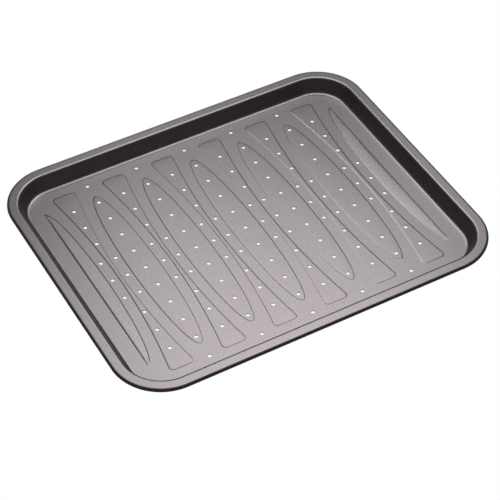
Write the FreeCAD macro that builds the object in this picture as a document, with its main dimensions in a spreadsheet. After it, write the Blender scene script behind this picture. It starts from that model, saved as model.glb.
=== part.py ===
import FreeCAD, Part
import math
import os

import Sketcher

# A perforated baking sheet, pressed from one blank of coated steel.
# Frame: X along the long side, Y across, Z up. The origin is on the surface that
# the sheet stands on, under the middle of its floor.

V = FreeCAD.Vector
UP = V(0, 0, 1)
ON_AXIS = 1e-6

doc = FreeCAD.newDocument("baking_sheet")

# Driving sizes, in millimetres and degrees
SIZES = [
    ("overall_length", 379.0, "outside length over the rolled edge"),
    ("overall_width", 306.5, "outside width over the rolled edge"),
    ("corner_radius", 49.0, "outside radius of the four corners"),
    ("sheet", 0.8, "thickness of the steel with its coat"),
    ("rim_height", 14.6, "top of the rim above the top of the floor"),
    ("rim_width", 8.8, "from the upper bend out to the outside of the rolled edge"),
    ("roll_radius", 1.85, "outside radius of the rolled edge"),
    ("roll_turn", 270.0, "how far the edge is rolled under"),
    ("wall_angle", 68.0, "slope of the wall, from level"),
    ("foot_radius", 5.0, "inside radius between floor and wall"),
    ("bend_radius", 4.0, "outside radius between wall and rim"),
    ("emboss_height", 0.7, "rise of the pads above the floor"),
    ("emboss_run", 1.2, "level width of the sloping edge of a pad"),
    ("column_pitch", 52.0, "from one leaf to the next"),
    ("leaf_length", 211.0, "leaf, measured halfway up its edge"),
    ("leaf_width", 27.0, "leaf, measured halfway up its edge"),
    ("end_trim", 0.5, "cut off each half leaf past its middle line"),
    ("waist_length", 243.0, "waisted pad, measured halfway up its edge"),
    ("waist_end_width", 24.0, "waisted pad at its ends"),
    ("waist_width", 3.1, "waisted pad at its middle"),
    ("end_corner", 1.6, "cut off the corners of a waisted pad"),
    ("hole_diameter", 3.1, "punched holes"),
    ("row_pitch", 24.3, "from one row of holes to the next"),
    ("outer_row", 122.3, "last hole of a leaf column, from the middle"),
    ("pair_spacing", 15.1, "between the holes either side of a waist"),
]
LEAVES = 5
WAISTS = LEAVES + 1
ROWS = 9
SINGLE_ROWS = 3
PAIR_ROWS = ROWS - 2 * SINGLE_ROWS

# Bends are drawn as flats and the holes as polygons, because there are so many of them.
# They keep to about a tenth of a millimetre of the round form.
BEND_FLATS = 3
ROLL_FLATS = 9
ROLL_FLATS_INSIDE = 6
HOLE_SIDES = 8

cells = doc.addObject("Spreadsheet::Sheet", "sizes")
for row, (alias, value, note) in enumerate(SIZES, start=1):
    cells.set("A%d" % row, alias)
    cells.set("B%d" % row, str(value))
    cells.set("C%d" % row, note)
    cells.setAlias("B%d" % row, alias)
doc.recompute()

# Sizes that follow from the driving ones
BENDS = "(sizes.foot_radius + sizes.bend_radius)"
WALL_LENGTH = "((sizes.rim_height - %s * (1 - cos(sizes.wall_angle))) / sin(sizes.wall_angle))" % BENDS
WALL_RUN = "(%s * sin(sizes.wall_angle) + %s * cos(sizes.wall_angle))" % (BENDS, WALL_LENGTH)
RIM_INSET = "(sizes.rim_width + %s)" % WALL_RUN
FLOOR_HALF_LENGTH = "(sizes.overall_length / 2 - %s)" % RIM_INSET
FLOOR_HALF_WIDTH = "(sizes.overall_width / 2 - %s)" % RIM_INSET
FLOOR_CORNER = "(sizes.corner_radius - %s)" % RIM_INSET
UNDER_SHIFT = "(sizes.sheet * tan(atan(sizes.emboss_height / sizes.emboss_run) / 2))"
WAIST_DEPTH = "((sizes.waist_end_width - sizes.waist_width) / 2)"
WAIST_ARC = "((sizes.waist_length ^ 2 / 4 + %s ^ 2) / (2 * %s))" % (WAIST_DEPTH, WAIST_DEPTH)
FIRST_LEAF = "(sizes.column_pitch * %s)" % ((LEAVES - 1) / 2)
FIRST_WAIST = "(sizes.column_pitch * %s)" % ((WAISTS - 1) / 2)
END_LEAF = "(sizes.column_pitch * %s)" % ((LEAVES + 1) / 2)
FIRST_ROW = "(sizes.row_pitch * %s)" % ((ROWS - 1) / 2)
HOLE_REACH = "(sizes.hole_diameter / 2 * sqrt(2 * pi / (%d * sin(%s))))" % (HOLE_SIDES, 360 / HOLE_SIDES)

# The four levels of a pad: height, and how far its outline is drawn in
TOP_FOOT = ("sizes.sheet", "(-sizes.emboss_run / 2)")
TOP_SHOULDER = ("sizes.sheet + sizes.emboss_height", "(sizes.emboss_run / 2)")
UNDER_FOOT = ("0", "(%s - sizes.emboss_run / 2)" % UNDER_SHIFT)
UNDER_SHOULDER = ("sizes.emboss_height", "(%s + sizes.emboss_run / 2)" % UNDER_SHIFT)


def number(formula):
    """What a formula of the cells comes to."""
    result = cells.evalExpression(formula.replace("sizes.", ""))
    return float(getattr(result, "Value", result))


tray = doc.addObject("PartDesign::Body", "baking_tray")
tray.Label = "baking_tray"


def origin_feature(role):
    for feature in tray.Origin.OriginFeatures:
        if feature.Role == role:
            return feature
    raise RuntimeError("the body has no " + role)


def new_sketch(name, role="XY_Plane", height="0"):
    """A sketch on a plane of the origin, lifted by a formula."""
    sketch = tray.newObject("Sketcher::SketchObject", name)
    sketch.AttachmentSupport = [(origin_feature(role), "")]
    sketch.MapMode = "FlatFace"
    if height != "0":
        sketch.setExpression("AttachmentOffset.Base.z", height)
    return sketch


def join(sketch, kind, *refs):
    sketch.addConstraint(Sketcher.Constraint(kind, *refs))


def dimension(sketch, name, kind, refs, formula):
    """A named dimension that follows the cells."""
    value = number(formula)
    if kind == "Angle":
        value = math.radians(value)
    sketch.addConstraint(Sketcher.Constraint(kind, *refs, value))
    sketch.renameConstraint(sketch.ConstraintCount - 1, name)
    unit = " * 1 deg" if kind == "Angle" else ""
    sketch.setExpression("Constraints." + name, formula + unit)


def line(sketch, start, end):
    return sketch.addGeometry(Part.LineSegment(V(*start, 0), V(*end, 0)))


def arc(sketch, centre, radius, first, last):
    """A circular arc, anticlockwise between two angles in degrees."""
    circle = Part.Circle(V(*centre, 0), UP, radius)
    return sketch.addGeometry(Part.ArcOfCircle(circle, math.radians(first), math.radians(last)))


def pin(sketch, name, geometry, end, place):
    """Holds one end of a line at a pair of formulas, measured from the middle of the sketch."""
    for axis, across, formula in (("X", -2, place[0]), ("Y", -1, place[1])):
        value = number(formula)
        if abs(value) < ON_AXIS:
            join(sketch, "PointOnObject", geometry, end, across)
        elif value > 0:
            dimension(sketch, name + axis, "Distance" + axis, (-1, 1, geometry, end), formula)
        else:
            dimension(sketch, name + axis, "Distance" + axis, (geometry, end, -1, 1), "-" + formula)


# The edge of the flat floor: four sides and four corners, with a joint at the
# middle of the +X side, where the section of the rim stands.
floor_edge = new_sketch("floor_edge")


def draw_floor_edge(sketch):
    x, y, r = number(FLOOR_HALF_LENGTH), number(FLOOR_HALF_WIDTH), number(FLOOR_CORNER)
    sides = [
        line(sketch, (x, 0), (x, y - r)),
        line(sketch, (x - r, y), (r - x, y)),
        line(sketch, (-x, y - r), (-x, r - y)),
        line(sketch, (r - x, -y), (x - r, -y)),
        line(sketch, (x, r - y), (x, 0)),
    ]
    corners = [
        arc(sketch, (x - r, y - r), r, 0, 90),
        arc(sketch, (r - x, y - r), r, 90, 180),
        arc(sketch, (r - x, r - y), r, 180, 270),
        arc(sketch, (x - r, r - y), r, 270, 360),
    ]
    for before, corner, after in zip(sides, corners, sides[1:]):
        join(sketch, "Tangent", before, 2, corner, 1)
        join(sketch, "Tangent", corner, 2, after, 1)
    join(sketch, "Coincident", sides[4], 2, sides[0], 1)
    join(sketch, "PointOnObject", sides[0], 1, -1)
    join(sketch, "Vertical", sides[0])
    join(sketch, "Vertical", sides[4])
    join(sketch, "Horizontal", sides[1])
    join(sketch, "Vertical", sides[2])
    join(sketch, "Horizontal", sides[3])
    for corner in corners[1:]:
        join(sketch, "Equal", corners[0], corner)
    dimension(sketch, "right", "DistanceX", (-1, 1, sides[0], 1), FLOOR_HALF_LENGTH)
    dimension(sketch, "left", "DistanceX", (sides[2], 1, -1, 1), FLOOR_HALF_LENGTH)
    dimension(sketch, "back", "DistanceY", (-1, 1, sides[1], 1), FLOOR_HALF_WIDTH)
    dimension(sketch, "front", "DistanceY", (sides[3], 1, -1, 1), FLOOR_HALF_WIDTH)
    dimension(sketch, "corner", "Radius", (corners[0],), FLOOR_CORNER)


draw_floor_edge(floor_edge)
floor = tray.newObject("PartDesign::Pad", "floor")
floor.Profile = floor_edge
floor.setExpression("Length", "sizes.sheet")

# The section of wall, bend, rim and rolled edge, one sheet thick, on the +X side
rim_section = new_sketch("rim_section", "XZ_Plane")


def bend(centre, radius, first, last, flats):
    """Points round a bend, as pairs of formulas, from one angle to another."""
    points = []
    for step in range(flats + 1):
        angle = "(%s + (%s - %s) * %d / %d)" % (first, last, first, step, flats)
        x = "(%s + %s * cos(%s))" % (centre[0], radius, angle)
        y = "(%s + %s * sin(%s))" % (centre[1], radius, angle)
        points.append((x, y))
    return points


def draw_rim_section(sketch):
    top = "(sizes.sheet + sizes.rim_height)"
    foot = (FLOOR_HALF_LENGTH, "(sizes.sheet + sizes.foot_radius)")
    brow = ("(%s + %s)" % (FLOOR_HALF_LENGTH, WALL_RUN), "(%s - sizes.bend_radius)" % top)
    roll = ("(sizes.overall_length / 2 - sizes.roll_radius)", "(%s - sizes.roll_radius)" % top)
    foot_turn = ("(-90)", "(sizes.wall_angle - 90)")
    brow_turn = ("(sizes.wall_angle + 90)", "90")
    roll_turn = ("90", "(90 - sizes.roll_turn)")
    upper = bend(foot, "sizes.foot_radius", *foot_turn, BEND_FLATS)
    upper += bend(brow, "sizes.bend_radius", *brow_turn, BEND_FLATS)
    upper += bend(roll, "sizes.roll_radius", *roll_turn, ROLL_FLATS)
    under = bend(foot, "(sizes.foot_radius + sizes.sheet)", *foot_turn, BEND_FLATS)
    under += bend(brow, "(sizes.bend_radius - sizes.sheet)", *brow_turn, BEND_FLATS)
    under += bend(roll, "(sizes.roll_radius - sizes.sheet)", *roll_turn, ROLL_FLATS_INSIDE)
    points = upper + under[::-1]
    places = [(number(x), number(y)) for x, y in points]
    lines = [line(sketch, start, end) for start, end in zip(places, places[1:] + places[:1])]
    for count, here in enumerate(lines):
        join(sketch, "Coincident", lines[count - 1], 2, here, 1)
        pin(sketch, "point_%d_" % count, here, 1, points[count])


draw_rim_section(rim_section)
rim = tray.newObject("PartDesign::AdditivePipe", "rim")
rim.Profile = rim_section
rim.Spine = floor_edge


def draw_leaf(sketch, inset):
    """A whole leaf is an ellipse; this is the leftmost one."""
    centre = -number(FIRST_LEAF)
    long_half = "(sizes.leaf_length / 2 - %s)" % inset
    short_half = "(sizes.leaf_width / 2 - %s)" % inset
    tip = V(centre, number(long_half), 0)
    side = V(centre + number(short_half), 0, 0)
    oval = sketch.addGeometry(Part.Ellipse(tip, side, V(centre, 0, 0)))
    sketch.exposeInternalGeometry(oval)
    long_axis, short_axis = oval + 1, oval + 2
    join(sketch, "Vertical", long_axis)
    join(sketch, "PointOnObject", oval, 3, -1)
    dimension(sketch, "centre", "DistanceX", (oval, 3, -1, 1), FIRST_LEAF)
    dimension(sketch, "long", "Distance", (long_axis,), "2 * " + long_half)
    dimension(sketch, "short", "Distance", (short_axis,), "2 * " + short_half)


def draw_half_leaf(sketch, inset):
    """The inner half of a leaf, at the right end: half an ellipse closed by a straight edge."""
    edge = "(%s - sizes.end_trim - %s)" % (END_LEAF, inset)
    long_half = "(sizes.leaf_length / 2 - %s)" % inset
    short_half = "(sizes.leaf_width / 2 - sizes.end_trim - 2 * %s)" % inset
    x, y = number(edge), number(long_half)
    oval = Part.Ellipse(V(x, y, 0), V(x - number(short_half), 0, 0), V(x, 0, 0))
    curve = sketch.addGeometry(Part.ArcOfEllipse(oval, 0, math.pi))
    sketch.exposeInternalGeometry(curve)
    long_axis, short_axis = curve + 1, curve + 2
    straight = line(sketch, (x, -y), (x, y))
    join(sketch, "Vertical", long_axis)
    join(sketch, "PointOnObject", curve, 3, -1)
    join(sketch, "Coincident", straight, 1, curve, 2)
    join(sketch, "Coincident", straight, 2, curve, 1)
    join(sketch, "PointOnObject", curve, 1, long_axis)
    join(sketch, "PointOnObject", curve, 2, long_axis)
    dimension(sketch, "edge", "DistanceX", (-1, 1, curve, 3), edge)
    dimension(sketch, "long", "Distance", (long_axis,), "2 * " + long_half)
    dimension(sketch, "short", "Distance", (short_axis,), "2 * " + short_half)


def draw_waist(sketch, inset):
    """The leftmost waisted pad: straight ends, cut corners and hollow sides."""
    end = "(sizes.waist_length / 2 - %s)" % inset
    shoulder = "(%s - sizes.end_corner)" % end
    hollow = "(%s + %s)" % (WAIST_ARC, inset)
    hollow_centre = "(sizes.waist_width / 2 + %s)" % WAIST_ARC
    end_half = "(%s - sqrt(%s ^ 2 - %s ^ 2) - sizes.end_corner)" % (hollow_centre, hollow, end)
    middle, radius, offset = -number(FIRST_WAIST), number(hollow), number(hollow_centre)
    x, y, side_y = number(end_half), number(end), number(shoulder)
    side_x = offset - math.sqrt(radius ** 2 - side_y ** 2)
    lean = math.degrees(math.asin(side_y / radius))
    top = line(sketch, (middle - x, y), (middle + x, y))
    right_top = line(sketch, (middle + x, y), (middle + side_x, side_y))
    right_side = arc(sketch, (middle + offset, 0), radius, 180 - lean, 180 + lean)
    right_low = line(sketch, (middle + side_x, -side_y), (middle + x, -y))
    low = line(sketch, (middle + x, -y), (middle - x, -y))
    left_low = line(sketch, (middle - x, -y), (middle - side_x, -side_y))
    left_side = arc(sketch, (middle - offset, 0), radius, -lean, lean)
    left_top = line(sketch, (middle - side_x, side_y), (middle - x, y))
    outline = [top, right_top, right_side, right_low, low, left_low, left_side, left_top]
    for before, here in zip(outline[-1:] + outline, outline):
        join(sketch, "Coincident", before, 2, here, 1)
    left, right = ("(%s%s - %s)" % (sign, end_half, FIRST_WAIST) for sign in ("-", ""))
    pin(sketch, "top_left", top, 1, (left, end))
    pin(sketch, "top_right", top, 2, (right, end))
    pin(sketch, "low_right", low, 1, (right, "(-%s)" % end))
    pin(sketch, "low_left", low, 2, (left, "(-%s)" % end))
    for name, side, sign in (("right", right_side, ""), ("left", left_side, "-")):
        dimension(sketch, name + "_hollow", "Radius", (side,), hollow)
        pin(sketch, name + "_centre", side, 3, ("(%s%s - %s)" % (sign, hollow_centre, FIRST_WAIST), "0"))
    dimension(sketch, "right_high", "DistanceY", (-1, 1, right_side, 1), shoulder)
    dimension(sketch, "right_deep", "DistanceY", (right_side, 2, -1, 1), shoulder)
    dimension(sketch, "left_high", "DistanceY", (-1, 1, left_side, 2), shoulder)
    dimension(sketch, "left_deep", "DistanceY", (left_side, 1, -1, 1), shoulder)


def loft(kind, name, draw, levels):
    """A loft between the same outline drawn at two levels."""
    sections = []
    for level, (height, inset) in zip(("foot", "shoulder"), levels):
        sketch = new_sketch("%s_%s" % (name, level), height=height)
        draw(sketch, inset)
        sections.append(sketch)
    feature = tray.newObject("PartDesign::" + kind, name)
    feature.Profile = sections[0]
    feature.Sections = [sections[1]]
    feature.Ruled = True
    return feature


def repeat_along_length(name, features, count):
    """Copies of a column at the column pitch, to the right of the first."""
    pattern = tray.newObject("PartDesign::LinearPattern", name)
    pattern.Originals = features
    pattern.Direction = (origin_feature("X_Axis"), [""])
    pattern.Occurrences = count
    pattern.setExpression("Length", "sizes.column_pitch * %d" % (count - 1))
    tray.Tip = pattern
    return pattern


def mirror_to_left(name, features):
    mirrored = tray.newObject("PartDesign::Mirrored", name)
    mirrored.Originals = features
    mirrored.MirrorPlane = (origin_feature("YZ_Plane"), [""])
    tray.Tip = mirrored
    return mirrored


def emboss(name, draw):
    """A pressed pad: raised above the floor and hollow below it."""
    raised = loft("AdditiveLoft", name, draw, (TOP_FOOT, TOP_SHOULDER))
    hollow = loft("SubtractiveLoft", name + "_hollow", draw, (UNDER_FOOT, UNDER_SHOULDER))
    return [raised, hollow]


def punch(name, x, y, *steps):
    """Holes that start from one place and repeat by steps: (axis, spacing, count).
    Each is as open as a round hole of the same diameter."""
    hole = tray.newObject("PartDesign::SubtractivePrism", name)
    hole.Polygon = HOLE_SIDES
    hole.setExpression("Circumradius", HOLE_REACH)
    hole.setExpression("Height", "3 * sizes.sheet + sizes.emboss_height")
    hole.setExpression("Placement.Base.x", x)
    hole.setExpression("Placement.Base.y", y)
    hole.setExpression("Placement.Base.z", "-sizes.sheet")
    group = tray.newObject("PartDesign::MultiTransform", name + "s")
    patterns = []
    for axis, spacing, count in steps:
        pattern = tray.newObject("PartDesign::LinearPattern", name + "_step")
        pattern.Direction = (origin_feature(axis), [""])
        pattern.Occurrences = count
        pattern.setExpression("Length", "%s * %d" % (spacing, count - 1))
        patterns.append(pattern)
    group.Originals = [hole]
    group.Transformations = patterns
    tray.Tip = group
    return group


repeat_along_length("leaves", emboss("leaf", draw_leaf), LEAVES)
repeat_along_length("waisted_pads", emboss("waist", draw_waist), WAISTS)
embossed = mirror_to_left("half_leaves", emboss("half_leaf", draw_half_leaf))

PITCH, ROW = "sizes.column_pitch", "sizes.row_pitch"
punch("leaf_hole", "-" + FIRST_LEAF, "-" + FIRST_ROW, ("Y_Axis", ROW, ROWS), ("X_Axis", PITCH, LEAVES))
punch("outer_hole", "-" + FIRST_LEAF, "-sizes.outer_row",
      ("Y_Axis", "2 * sizes.outer_row", 2), ("X_Axis", PITCH, LEAVES))
punch("single_hole", "-" + FIRST_WAIST, "-" + FIRST_ROW,
      ("Y_Axis", ROW, SINGLE_ROWS), ("Y_Axis", "%d * %s" % (ROWS - SINGLE_ROWS, ROW), 2),
      ("X_Axis", PITCH, WAISTS))
punched = punch("pair_hole", "-%s - sizes.pair_spacing / 2" % FIRST_WAIST,
                "-%s + %d * %s" % (FIRST_ROW, SINGLE_ROWS, ROW),
                ("X_Axis", "sizes.pair_spacing", 2), ("Y_Axis", ROW, PAIR_ROWS),
                ("X_Axis", PITCH, WAISTS))
doc.recompute()

for item in doc.Objects:
    if "Invalid" in item.State or "Error" in item.State:
        raise RuntimeError("%s did not build: %s" % (item.Label, item.State))
for item in doc.findObjects("Sketcher::SketchObject"):
    if not item.FullyConstrained:
        raise RuntimeError(item.Label + " is not fully constrained")
if tray.Shape.isNull() or not tray.Shape.isValid() or len(tray.Shape.Solids) != 1:
    raise RuntimeError("the tray is not one valid solid")

# Every hole takes a slug at least one sheet thickness long out of the floor
hole_count = LEAVES * (ROWS + 2) + WAISTS * 2 * (SINGLE_ROWS + PAIR_ROWS)
one_slug = math.pi * number("sizes.hole_diameter ^ 2 / 4") * number("sizes.sheet")
slugs = (embossed.Shape.Volume - punched.Shape.Volume) / one_slug
if slugs < hole_count - 0.5:
    raise RuntimeError("%d holes are planned, and %.1f went through" % (hole_count, slugs))

os.makedirs("parts", exist_ok=True)
tray.Shape.exportStep("parts/%s.step" % tray.Label)
box = tray.Shape.optimalBoundingBox(False, False)
print("baking tray %.1f x %.1f x %.1f mm" % (box.XLength, box.YLength, box.ZLength))
print("%.0f cubic mm, %d holes, %d faces" % (tray.Shape.Volume, hole_count, len(tray.Shape.Faces)))
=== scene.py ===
import math

import bpy
from mathutils import Matrix, Vector


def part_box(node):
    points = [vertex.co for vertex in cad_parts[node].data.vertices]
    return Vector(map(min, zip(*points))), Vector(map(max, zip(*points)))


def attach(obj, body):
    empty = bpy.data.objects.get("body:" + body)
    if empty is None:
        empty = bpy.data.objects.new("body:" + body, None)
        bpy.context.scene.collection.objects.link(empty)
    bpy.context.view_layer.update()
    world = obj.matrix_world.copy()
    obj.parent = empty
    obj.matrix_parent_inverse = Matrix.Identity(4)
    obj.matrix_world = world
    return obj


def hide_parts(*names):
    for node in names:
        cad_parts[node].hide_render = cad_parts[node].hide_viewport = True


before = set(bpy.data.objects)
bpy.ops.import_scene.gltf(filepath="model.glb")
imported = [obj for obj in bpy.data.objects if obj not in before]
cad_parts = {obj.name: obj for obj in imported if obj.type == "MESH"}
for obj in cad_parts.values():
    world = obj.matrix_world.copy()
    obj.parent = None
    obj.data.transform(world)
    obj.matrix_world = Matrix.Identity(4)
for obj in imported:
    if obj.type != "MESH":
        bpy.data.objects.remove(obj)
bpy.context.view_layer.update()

# A perforated baking sheet, pressed from one blank of non-stick coated steel.
# Metres, in the frame's own axes: X along the long side, Z up, the floor's underside at 0.

bl_info = {
    "name": "Perforated baking sheet",
    "version": (1, 0, 0),
    "blender": (4, 5, 0),
    "location": "View3D > Sidebar > Baking sheet",
    "description": "Presses, punches and coats a crisping sheet, and sets up its studio",
    "category": "Object",
}

MM = 0.001
TRAY_LOW, TRAY_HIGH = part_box("baking_tray")

# How many pads and rows of holes there are, and how many rows at each end of a waisted pad are single
LEAVES = 5
WAISTS = LEAVES + 1
ROWS = 9
SINGLE_ROWS = 3

# How finely the bends of the sheet, the pads and the holes are drawn
CORNER_STEPS = 20
BEND_STEPS = 8
ROLL_STEPS = 6
TOE_STEPS = 2
SHOULDER_STEPS = 4
CROWN_RINGS = 4
LEAF_POINTS = 96
WAIST_STEPS = 24
WAIST_CORNER_STEPS = 6
HOLE_SIDES = 24

# A bevel with this profile is part of a circle
ROUND = 0.5

# Narrow flat strip beside a bend, which keeps the bend's shading off the flat
STRIP = 0.8 * MM

# Places nearer than this are the same place
CLOSE = 0.01 * MM
CLOSER = 0.001 * MM

# A face that looks down has a normal with less height than this
LOOKS_DOWN = -0.9

# The punches reach through the floor and through the pads
PUNCH_LENGTH = 12 * MM

# Edges that bend by less than this are shaded round
SMOOTH_BELOW = math.radians(35)

# The coat's two patterns: how finely each is broken up, how deep it is and how much of that shows
GRAIN_DETAIL = 2.0
GRAIN_BREAKUP = 0.6
GRAIN_DEPTH = 0.02 * MM
GRAIN_STRENGTH = 0.15
PEEL_DETAIL = 1.0
PEEL_DEPTH = 0.05 * MM
PEEL_STRENGTH = 0.1

# The studio's white card, twenty metres wide and just below the sheet, and how brightly it glows
GROUND_SIZE = 20
GROUND_GAP = 0.2 * MM
CARD_GLOW = 1.0

# The dim room's own colour, and the width of the camera's sensor in millimetres
ROOM_COLOUR = "FFFFFF"
SENSOR_WIDTH = 36


def linear(code):
    """Linear red, green and blue of an sRGB colour written as six hex digits."""
    shares = [int(code[place:place + 2], 16) / 255 for place in (0, 2, 4)]
    return tuple(s / 12.92 if s <= 0.04045 else ((s + 0.055) / 1.055) ** 2.4 for s in shares)


def outside_size(name, description, metres):
    """A size of the whole sheet, taken from the frame."""
    return bpy.props.FloatProperty(
        name=name, description=description, default=metres, unit="LENGTH", subtype="DISTANCE")


def size(name, description, millimetres):
    return bpy.props.FloatProperty(
        name=name, description=description, default=millimetres * MM,
        unit="LENGTH", subtype="DISTANCE", precision=5)


def angle(name, description, degrees):
    return bpy.props.FloatProperty(
        name=name, description=description, default=math.radians(degrees), subtype="ANGLE")


def share(name, description, part):
    return bpy.props.FloatProperty(
        name=name, description=description, default=part, min=0.0, max=1.0, subtype="FACTOR")


def colour(name, description, code):
    return bpy.props.FloatVectorProperty(
        name=name, description=description, default=linear(code),
        subtype="COLOR", size=3, min=0.0, max=1.0)


class BAKING_PG_blank(bpy.types.PropertyGroup):
    """Sizes of the pressed sheet."""

    length: outside_size("Length", "Outside length over the rolled edge", TRAY_HIGH.x - TRAY_LOW.x)
    width: outside_size("Width", "Outside width over the rolled edge", TRAY_HIGH.y - TRAY_LOW.y)
    height: outside_size(
        "Height", "Top of the rim above the surface it stands on", TRAY_HIGH.z - TRAY_LOW.z)
    sheet: size("Sheet", "Thickness of the coated steel", 0.8)
    corner: size("Corner radius", "Outside radius of the four corners", 49.0)
    rim: size("Rim width", "From the upper bend to the outside of the rolled edge", 9.1)
    roll: size("Roll radius", "Outside radius of the rolled edge", 2.1)
    brow: size("Bend radius", "Between wall and rim", 3.0)
    foot: size("Foot radius", "Between floor and wall", 3.8)
    slope: angle("Wall slope", "Angle of the wall from level", 68)


class BAKING_PG_floor(bpy.types.PropertyGroup):
    """Sizes of the pads and holes in the floor."""

    rise: size("Emboss height", "Rise of the leaves and waisted pads above the floor", 0.23)
    slope: angle("Emboss slope", "Angle of their edges from level", 15)
    shoulder: size("Shoulder radius", "Round of a pad's edge at the top", 0.8)
    toe: size("Toe radius", "Round of a pad's edge at the floor", 0.4)
    pitch: size("Pitch", "From one leaf to the next", 52.0)
    leaf_length: size("Leaf length", "Leaf, measured halfway up its edge", 211.0)
    leaf_width: size("Leaf width", "Leaf, measured halfway up its edge", 27.0)
    leaf_crown: size("Leaf crown", "Extra rise of a leaf's middle", 0.05)
    end_rise: size("Half leaf height", "Rise of the two half leaves above the floor", 0.45)
    end_slope: angle("Half leaf slope", "Angle of a half leaf's curved edge from level", 17)
    end_steep: angle("Half leaf steep slope", "Angle of a half leaf's straight edge from level", 45)
    end_crown: size("Half leaf crown", "Extra rise of a half leaf along its ridge", 0.4)
    end_ridge: size("Half leaf ridge", "From its straight edge's top in to its highest line", 1.2)
    end_trim: size("Half leaf trim", "Cut off each half leaf, past a leaf's middle line", 0.1)
    waist_length: size("Waisted pad length", "Measured halfway up its edge", 243.0)
    waist_end: size("Waisted pad end", "Width at the ends", 24.0)
    waist_width: size("Waist", "Width at the middle", 3.1)
    waist_corner: size("Waisted pad corner", "Radius of its four corners", 5.0)
    waist_crown: size("Waisted pad crown", "Extra rise of its middle", 0.03)
    hole: size("Hole diameter", "Punched holes", 3.5)
    row: size("Row pitch", "From one row of holes to the next", 24.3)
    outer_row: size("Outer row", "Last hole of a leaf's column, from the middle", 122.3)
    pair: size("Pair spacing", "Between the holes either side of a waist", 15.1)


class BAKING_PG_coat(bpy.types.PropertyGroup):
    """Look of the non-stick coat."""

    pale: colour("Pale", "Colour of the coat where its flakes lie flat", "A19B9C")
    deep: colour("Deep", "Colour of the coat between its flakes", "645E5F")
    metal: share("Metallic", "Share of the look that comes from metal flakes", 0.9)
    gloss: share("Roughness", "How far the coat spreads a reflection", 0.36)
    grain: size("Grain", "Width of the sprayed coat's grain, as drawn", 0.9)
    peel: size("Orange peel", "Width of the soft dimples in the sprayed coat", 3.0)


class BAKING_PG_studio(bpy.types.PropertyGroup):
    """Camera and lights."""

    lens: bpy.props.FloatProperty(
        name="Lens", description="Focal length in millimetres, on a 36 mm sensor",
        default=127.02, unit="CAMERA")
    azimuth: angle("Azimuth", "Camera direction, from the front", -29.24)
    elevation: angle("Elevation", "Camera height above the horizon", 45.581)
    roll: angle("Roll", "Camera tilt about its own axis", -0.163)
    distance: size("Distance", "Camera to the point it looks at", 1621.1)
    aim_x: size("Aim X", "Point on the ground that the camera looks at", -10.44)
    aim_y: size("Aim Y", "Point on the ground that the camera looks at", -27.03)
    box_height: size("Softbox height", "Softbox above the ground", 900)
    box_length: size("Softbox length", "Across the view", 660)
    box_width: size("Softbox width", "Along the view", 700)
    box_side: size("Softbox side", "Middle of the softbox, to the right of the view", 42)
    box_back: size("Softbox back", "Middle of the softbox, away from the camera", 585)
    box_power: bpy.props.FloatProperty(
        name="Softbox power", description="Light given off, in watts", default=5.4, unit="POWER")
    fill: share("Fill", "Brightness of the dim room round the softbox", 0.075)


def settings(group):
    """One of the groups of sizes above, as the scene holds it."""
    return getattr(bpy.context.scene, "baking_" + group)


def deselect():
    bpy.ops.object.select_all(action="DESELECT")


def pick(piece):
    """Selects one object alone and makes it the active one."""
    deselect()
    piece.select_set(True)
    bpy.context.view_layer.objects.active = piece


def discard(piece):
    """Deletes an object that has done its work."""
    pick(piece)
    bpy.ops.object.delete()


def edit_all():
    """Starts editing the active object, with all of its mesh selected."""
    bpy.ops.object.mode_set(mode="EDIT")
    bpy.ops.mesh.select_all(action="SELECT")


def stop_editing():
    bpy.ops.object.mode_set(mode="OBJECT")


def place_object(piece):
    """Puts the object's place, turn and size into its mesh."""
    bpy.ops.object.transform_apply(location=True, rotation=True, scale=True)
    return piece


def join_all(pieces, name):
    """Joins several meshes into the first, under a new name."""
    deselect()
    for piece in pieces:
        piece.select_set(True)
    bpy.context.view_layer.objects.active = pieces[0]
    bpy.ops.object.join()
    pieces[0].name = name
    return pieces[0]


def apply_modifier(piece, kind, **values):
    """Adds a modifier with its settings and applies it."""
    pick(piece)
    modifier = piece.modifiers.new(kind.title(), kind)
    for key, value in values.items():
        setattr(modifier, key, value)
    bpy.ops.object.modifier_apply(modifier=modifier.name)


def select_none(piece):
    """Clears the selection in a mesh that isn't being edited."""
    mesh = piece.data
    for part in (mesh.polygons, mesh.edges, mesh.vertices):
        part.foreach_set("select", [False] * len(part))


def select_points(piece, wanted):
    """Selects the points of a mesh whose place passes a test."""
    select_none(piece)
    for point in piece.data.vertices:
        point.select = wanted(point.co)
    bpy.context.tool_settings.mesh_select_mode = (True, False, False)


def select_faces(piece, wanted):
    """Selects the faces of a mesh that pass a test."""
    select_none(piece)
    for face in piece.data.polygons:
        face.select = wanted(face)
    bpy.context.tool_settings.mesh_select_mode = (False, False, True)


def turn_over():
    """Turns every face of the active object's mesh over."""
    edit_all()
    bpy.ops.mesh.flip_normals()
    stop_editing()


def turn_up(piece):
    """Turns an open sheet the right way up if its widest face looks down."""
    widest = max(piece.data.polygons, key=lambda face: face.area)
    if widest.normal.z < 0:
        turn_over()


def arc_steps(radius, first, last, count):
    """Steps (inwards, upwards) round a bend of the section, between two angles in radians."""
    places = []
    for step in range(count + 1):
        turn = first + (last - first) * step / count
        places.append((radius * math.cos(turn), radius * math.sin(turn)))
    return [(a[0] - b[0], b[1] - a[1]) for a, b in zip(places, places[1:])]


def draw_in(steps):
    """Draws the selected face in and up or down, one step after another."""
    for inwards, upwards in steps:
        bpy.ops.mesh.inset(thickness=inwards, depth=upwards, use_even_offset=True)


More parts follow.
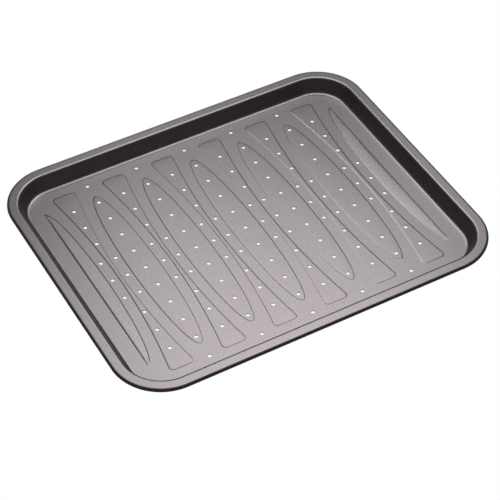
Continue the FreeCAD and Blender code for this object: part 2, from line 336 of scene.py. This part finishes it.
def rounded_blank(height):
    """The sheet's widest outline as one face, in edit mode."""
    blank = settings("blank")
    deselect()
    bpy.ops.mesh.primitive_plane_add(size=1, location=(0, 0, height))
    piece = bpy.context.object
    piece.scale = (blank.length, blank.width, 1)
    place_object(piece)
    edit_all()
    bpy.ops.mesh.bevel(
        offset=blank.corner, offset_type="OFFSET", segments=CORNER_STEPS, profile=ROUND,
        affect="VERTICES")
    bpy.ops.mesh.select_all(action="SELECT")
    return piece


def open_face():
    """Takes away the faces that are selected and leaves their edges."""
    bpy.ops.mesh.delete(type="ONLY_FACE")
    stop_editing()


def press_rim():
    """Upper face of the rolled edge, rim, wall and foot, down to the flat floor."""
    blank = settings("blank")
    quarter = math.pi / 2
    roll_height = blank.height - blank.roll
    bends = (blank.brow + blank.foot) * (1 - math.cos(blank.slope))
    wall_rise = blank.height - blank.sheet - bends
    wall = wall_rise / math.tan(blank.slope)

    upper = rounded_blank(roll_height)
    draw_in(arc_steps(blank.roll, 0, quarter, ROLL_STEPS))
    flat = blank.rim - blank.roll
    draw_in([(STRIP, 0), (flat - 2 * STRIP, 0), (STRIP, 0)])
    draw_in(arc_steps(blank.brow, quarter, quarter + blank.slope, BEND_STEPS))
    draw_in([(wall, -wall_rise)])
    draw_in(arc_steps(blank.foot, blank.slope - quarter, -quarter, BEND_STEPS))
    draw_in([(STRIP, 0)])
    open_face()

    lower = rounded_blank(roll_height)
    draw_in(arc_steps(blank.roll, 0, -2 * quarter, 2 * ROLL_STEPS))
    open_face()
    turn_over()

    rim = join_all([upper, lower], "rim")
    edit_all()
    bpy.ops.mesh.remove_doubles(threshold=CLOSER)
    stop_editing()
    return rim


def edge_steps(rise, slope):
    """Steps (inwards, upwards) up the edge of a pad, from the floor to its top."""
    floor = settings("floor")
    quarter = math.pi / 2
    climb = rise - (floor.toe + floor.shoulder) * (1 - math.cos(slope))
    steps = arc_steps(floor.toe, -quarter, -quarter - slope, TOE_STEPS)
    steps.append((climb / math.tan(slope), climb))
    return steps + arc_steps(floor.shoulder, quarter - slope, quarter, SHOULDER_STEPS)


def edge_half(steps):
    """From the foot of a pad's edge to where its size is measured."""
    return sum(inwards for inwards, upwards in steps) / 2


def raise_face(upwards, across, along, middle):
    """Draws the selected face out upwards and shrinks it about a point."""
    bpy.ops.mesh.extrude_region_move(TRANSFORM_OT_translate={"value": (0, 0, upwards)})
    bpy.ops.transform.resize(value=(across, along, 1), center_override=middle)


def crown_pad(crown, middle=(0, 0, 0)):
    """Draws the top of a pad in towards its highest line, on a crown, and opens it below."""
    reach = [1 - ring / (CROWN_RINGS + 1) for ring in range(CROWN_RINGS + 1)]
    for before, after in zip(reach, reach[1:]):
        shrink = after / before
        raise_face(crown * (before ** 2 - after ** 2), shrink, (1 + shrink) / 2, middle)
    stop_editing()
    select_faces(bpy.context.object, lambda face: face.normal.z < LOOKS_DOWN)
    bpy.ops.object.mode_set(mode="EDIT")
    open_face()


def new_oval(across, along):
    """A flat oval face at the height of the floor, in edit mode."""
    deselect()
    bpy.ops.mesh.primitive_circle_add(
        vertices=LEAF_POINTS, radius=1, fill_type="NGON", location=(0, 0, settings("blank").sheet))
    piece = bpy.context.object
    piece.scale = (across, along, 1)
    place_object(piece)
    edit_all()
    return piece


def press_leaf():
    """One leaf, at the middle: a long ellipse with a rounded edge and a low crown."""
    floor = settings("floor")
    steps = edge_steps(floor.rise, floor.slope)
    outside = edge_half(steps) + STRIP
    across, along = floor.leaf_width / 2 + outside, floor.leaf_length / 2 + outside
    piece = new_oval(across, along)
    for inwards, upwards in [(STRIP, 0)] + steps:
        raise_face(upwards, (across - inwards) / across, (along - inwards) / along, (0, 0, 0))
        across, along = across - inwards, along - inwards
    crown_pad(floor.leaf_crown)
    return piece


def press_half_leaf():
    """The left half of a leaf, cut along its middle line.
    Its tips draw in twice as far as its curved side, as they do on a sharp corner.
    Its straight edge is steeper, so that one draws in by a smaller part."""
    floor = settings("floor")
    steps = edge_steps(floor.end_rise, floor.end_slope)
    part = math.tan(floor.end_slope) / math.tan(floor.end_steep)
    outside = edge_half(steps) + STRIP
    edge = part * outside - floor.end_trim
    across = floor.leaf_width / 2 - floor.end_trim + (1 + part) * outside
    along = floor.leaf_length / 2 + 2 * outside
    piece = new_oval(across, along)
    bpy.ops.mesh.bisect(plane_co=(0, 0, 0), plane_no=(1, 0, 0), clear_outer=True)
    bpy.ops.mesh.select_all(action="SELECT")
    bpy.ops.mesh.remove_doubles(threshold=CLOSE)
    bpy.ops.mesh.select_all(action="SELECT")
    bpy.ops.transform.translate(value=(edge, 0, 0))
    for inwards, upwards in [(STRIP, 0)] + steps:
        slimmer, shorter = across - (1 + part) * inwards, along - 2 * inwards
        raise_face(upwards, slimmer / across, shorter / along, (edge, 0, 0))
        bpy.ops.transform.translate(value=(-part * inwards, 0, 0))
        across, along, edge = slimmer, shorter, edge - part * inwards
    crown_pad(floor.end_crown, (edge - floor.end_ridge, 0, 0))
    return piece


def hollow_side(outside):
    """The hollow right side of a waisted pad, a chain of edges turned about its centre."""
    floor, blank = settings("floor"), settings("blank")
    depth = (floor.waist_end - floor.waist_width) / 2
    hollow = ((floor.waist_length / 2) ** 2 + depth ** 2) / (2 * depth)
    centre = floor.waist_width / 2 + hollow
    radius, end = hollow - outside, floor.waist_length / 2 + outside
    lean = math.asin(end / radius)
    deselect()
    bpy.ops.mesh.primitive_plane_add(
        size=MM, location=(centre - radius * math.cos(lean), -end, blank.sheet))
    piece = place_object(bpy.context.object)
    bpy.ops.object.mode_set(mode="EDIT")
    bpy.ops.mesh.select_mode(type="VERT")
    bpy.ops.mesh.select_all(action="SELECT")
    bpy.ops.mesh.merge(type="CENTER")
    bpy.ops.mesh.spin(
        steps=WAIST_STEPS, angle=2 * lean, center=(centre, 0, blank.sheet), axis=(0, 0, 1))
    stop_editing()
    return piece, end


def press_waist():
    """One waisted pad, at the middle: hollow sides, straight ends and round corners."""
    floor = settings("floor")
    steps = edge_steps(floor.rise, floor.slope)
    outside = edge_half(steps) + STRIP
    piece, end = hollow_side(outside)
    apply_modifier(piece, "MIRROR", use_axis=(True, False, False), use_mirror_merge=False)
    bpy.ops.object.mode_set(mode="EDIT")
    bpy.ops.mesh.select_mode(type="EDGE")
    bpy.ops.mesh.select_all(action="SELECT")
    bpy.ops.mesh.bridge_edge_loops()
    bpy.ops.mesh.select_all(action="SELECT")
    bpy.ops.mesh.dissolve_faces()
    stop_editing()
    select_points(piece, lambda place: abs(place.y) > end - CLOSE)
    bpy.ops.object.mode_set(mode="EDIT")
    bpy.ops.mesh.bevel(
        offset=floor.waist_corner + outside, offset_type="OFFSET", segments=WAIST_CORNER_STEPS,
        profile=ROUND, affect="VERTICES")
    bpy.ops.mesh.select_all(action="SELECT")
    bpy.ops.mesh.normals_make_consistent(inside=False)
    stop_editing()
    turn_up(piece)
    edit_all()
    draw_in([(STRIP, 0)] + steps)
    crown_pad(floor.waist_crown)
    return piece


def copies(piece, places):
    """Copies of a pad along the sheet, each at its place and mirrored where its side is -1."""
    made = []
    for place, side in places:
        pick(piece)
        bpy.ops.object.duplicate()
        copy = bpy.context.object
        copy.location.x = place
        copy.scale.x = side
        made.append(place_object(copy))
    discard(piece)
    return made


def spread(count, pitch):
    """Places of a row of like pads, centred on the middle, each the same way round."""
    return [((number - (count - 1) / 2) * pitch, 1) for number in range(count)]


def fill_floor(tray):
    """Fills the floor between its edge and the pads, and turns every face the same way."""
    level = settings("blank").sheet + CLOSE
    pick(tray)
    bpy.ops.object.mode_set(mode="EDIT")
    bpy.ops.mesh.select_mode(type="EDGE")
    bpy.ops.mesh.select_all(action="DESELECT")
    bpy.ops.mesh.select_non_manifold(
        extend=False, use_wire=False, use_boundary=True, use_multi_face=False,
        use_non_contiguous=False, use_verts=False)
    stop_editing()
    points = tray.data.vertices
    for edge in tray.data.edges:
        if edge.select and points[edge.vertices[0]].co.z > level:
            edge.select = False
    for point in points:
        if point.co.z > level:
            point.select = False
    bpy.ops.object.mode_set(mode="EDIT")
    bpy.ops.mesh.fill(use_beauty=True)
    bpy.ops.mesh.select_all(action="SELECT")
    bpy.ops.mesh.remove_doubles(threshold=CLOSER)
    bpy.ops.mesh.normals_make_consistent(inside=False)
    stop_editing()
    turn_up(tray)


def punches(x, y, *steps):
    """Punches that start from one place and repeat by steps (across, along, count)."""
    deselect()
    bpy.ops.mesh.primitive_cylinder_add(
        vertices=HOLE_SIDES, radius=settings("floor").hole / 2, depth=PUNCH_LENGTH,
        location=(x, y, 0))
    punch = place_object(bpy.context.object)
    for across, along, count in steps:
        apply_modifier(
            punch, "ARRAY", count=count, use_relative_offset=False, use_constant_offset=True,
            constant_offset_displace=(across, along, 0))
    return punch


def punch_holes(tray):
    """Punches the holes: a line down each leaf, and one or two down each waisted pad."""
    floor = settings("floor")
    pitch, row, last = floor.pitch, floor.row, (ROWS - 1) / 2
    leaf, waist = -(LEAVES - 1) / 2 * pitch, -(WAISTS - 1) / 2 * pitch
    tools = [
        punches(leaf, -last * row, (0, row, ROWS), (pitch, 0, LEAVES)),
        punches(leaf, -floor.outer_row, (0, 2 * floor.outer_row, 2), (pitch, 0, LEAVES)),
        punches(waist, -last * row, (0, row, SINGLE_ROWS),
                (0, (ROWS - SINGLE_ROWS) * row, 2), (pitch, 0, WAISTS)),
        punches(waist - floor.pair / 2, (SINGLE_ROWS - last) * row, (floor.pair, 0, 2),
                (0, row, ROWS - 2 * SINGLE_ROWS), (pitch, 0, WAISTS)),
    ]
    tool = join_all(tools, "punches")
    apply_modifier(tray, "BOOLEAN", operation="DIFFERENCE", object=tool, solver="EXACT")
    edit_all()
    bpy.ops.mesh.dissolve_degenerate(threshold=CLOSER)
    stop_editing()
    discard(tool)


def new_material(name):
    """A material with nothing in its tree yet."""
    material = bpy.data.materials.new(name)
    material.use_nodes = True
    material.node_tree.nodes.clear()
    return material, material.node_tree


def add_node(tree, kind, values=None, links=None, **options):
    """Adds a node with its options, the values of its inputs and the links into it."""
    node = tree.nodes.new(kind)
    for name, option in options.items():
        setattr(node, name, option)
    for name, value in (values or {}).items():
        node.inputs[name].default_value = value
    for name, source in (links or {}).items():
        tree.links.new(source, node.inputs[name])
    return node


def nonstick_coat():
    """PTFE-type non-stick coat with metal flakes, sprayed on steel and baked.
    To the eye: a dark satin grey that mirrors a soft light as a broad sheen and
    turns almost black where it faces the dark, with a fine sprayed grain.
    The real grain, about 0.2 mm wide, is too fine to show, so it is drawn coarser."""
    coat = settings("coat")
    material, tree = new_material("nonstick_coat")
    place = add_node(tree, "ShaderNodeTexCoord").outputs["Object"]
    grain = add_node(
        tree, "ShaderNodeTexNoise",
        {"Scale": 1 / coat.grain, "Detail": GRAIN_DETAIL, "Roughness": GRAIN_BREAKUP},
        {"Vector": place})
    peel = add_node(
        tree, "ShaderNodeTexNoise", {"Scale": 1 / coat.peel, "Detail": PEEL_DETAIL},
        {"Vector": place})
    tone = add_node(
        tree, "ShaderNodeMix", {"A": (*coat.deep, 1), "B": (*coat.pale, 1)},
        {"Factor": grain.outputs["Fac"]}, data_type="RGBA")
    dimples = add_node(
        tree, "ShaderNodeBump", {"Strength": PEEL_STRENGTH, "Distance": PEEL_DEPTH},
        {"Height": peel.outputs["Fac"]})
    relief = add_node(
        tree, "ShaderNodeBump", {"Strength": GRAIN_STRENGTH, "Distance": GRAIN_DEPTH},
        {"Height": grain.outputs["Fac"], "Normal": dimples.outputs["Normal"]})
    shader = add_node(
        tree, "ShaderNodeBsdfPrincipled", {"Metallic": coat.metal, "Roughness": coat.gloss},
        {"Base Color": tone.outputs["Result"], "Normal": relief.outputs["Normal"]})
    add_node(tree, "ShaderNodeOutputMaterial", links={"Surface": shader.outputs["BSDF"]})
    return material


def white_card():
    """Seamless white card, lit so far past white that it shows no shadow."""
    material, tree = new_material("white_card")
    glow = add_node(tree, "ShaderNodeEmission", {"Strength": CARD_GLOW})
    add_node(tree, "ShaderNodeOutputMaterial", links={"Surface": glow.outputs["Emission"]})
    return material


class BAKING_OT_press(bpy.types.Operator):
    """Press the sheet: rim, walls, floor and pads"""

    bl_idname = "baking.press"
    bl_label = "Press the sheet"

    def execute(self, context):
        floor = settings("floor")
        ends = (LEAVES + 1) / 2 * floor.pitch
        pads = copies(press_leaf(), spread(LEAVES, floor.pitch))
        pads += copies(press_half_leaf(), [(ends, 1), (-ends, -1)])
        pads += copies(press_waist(), spread(WAISTS, floor.pitch))
        tray = join_all([press_rim()] + pads, "tray")
        fill_floor(tray)
        apply_modifier(
            tray, "SOLIDIFY", thickness=settings("blank").sheet, offset=-1, use_even_offset=False)
        punch_holes(tray)
        pick(tray)
        bpy.ops.object.shade_smooth_by_angle(angle=SMOOTH_BELOW)
        tray.data.materials.clear()
        tray.data.materials.append(nonstick_coat())
        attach(tray, "root")
        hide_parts("baking_tray")
        return {"FINISHED"}


class BAKING_OT_studio(bpy.types.Operator):
    """Set up the ground, the light and the camera"""

    bl_idname = "baking.studio"
    bl_label = "Set up the studio"

    def execute(self, context):
        studio = settings("studio")
        deselect()
        bpy.ops.mesh.primitive_plane_add(size=GROUND_SIZE, location=(0, 0, -GROUND_GAP))
        ground = context.object
        ground.name = "ground"
        ground.data.materials.append(white_card())
        ground.visible_diffuse = ground.visible_glossy = False

        view = Matrix.Rotation(studio.azimuth, 3, "Z")
        box_place = Vector((studio.box_side, studio.box_back, studio.box_height))
        bpy.ops.object.light_add(
            type="AREA", location=view @ box_place, rotation=(0, 0, studio.azimuth))
        softbox = context.object.data
        softbox.shape = "RECTANGLE"
        softbox.size, softbox.size_y = studio.box_length, studio.box_width
        softbox.energy = studio.box_power

        room = bpy.data.worlds.new("room")
        room.use_nodes = True
        background = room.node_tree.nodes["Background"]
        background.inputs["Color"].default_value = (*linear(ROOM_COLOUR), 1)
        background.inputs["Strength"].default_value = studio.fill
        context.scene.world = room

        away = Vector((
            math.sin(studio.azimuth) * math.cos(studio.elevation),
            -math.cos(studio.azimuth) * math.cos(studio.elevation),
            math.sin(studio.elevation)))
        aim = Vector((studio.aim_x, studio.aim_y, 0))
        bpy.ops.object.camera_add(location=aim + away * studio.distance)
        camera = context.object
        level = (-away).to_track_quat("-Z", "Y").to_matrix()
        camera.rotation_euler = (level @ Matrix.Rotation(studio.roll, 3, "Z")).to_euler()
        camera.data.lens = studio.lens
        camera.data.sensor_width = SENSOR_WIDTH
        context.scene.camera = camera
        context.scene.view_settings.view_transform = "Standard"
        return {"FINISHED"}


class BAKING_PT_sheet(bpy.types.Panel):
    """Baking sheet tools in the sidebar"""

    bl_idname = "BAKING_PT_sheet"
    bl_label = "Baking sheet"
    bl_space_type = "VIEW_3D"
    bl_region_type = "UI"
    bl_category = "Baking sheet"

    def draw(self, context):
        column = self.layout.column()
        for tool in OPERATORS:
            column.operator(tool.bl_idname)
        for name, group in GROUPS.items():
            column.label(text=name.title())
            for setting in group.__annotations__:
                column.prop(settings(name), setting)


GROUPS = {
    "blank": BAKING_PG_blank,
    "floor": BAKING_PG_floor,
    "coat": BAKING_PG_coat,
    "studio": BAKING_PG_studio,
}
OPERATORS = [BAKING_OT_press, BAKING_OT_studio]
CLASSES = list(GROUPS.values()) + OPERATORS + [BAKING_PT_sheet]


def register():
    for item in CLASSES:
        bpy.utils.register_class(item)
    for name, group in GROUPS.items():
        setattr(bpy.types.Scene, "baking_" + name, bpy.props.PointerProperty(type=group))


def unregister():
    for name in GROUPS:
        delattr(bpy.types.Scene, "baking_" + name)
    for item in reversed(CLASSES):
        bpy.utils.unregister_class(item)


def main():
    register()
    bpy.ops.baking.press()
    bpy.ops.baking.studio()


if __name__ == "__main__":
    main()
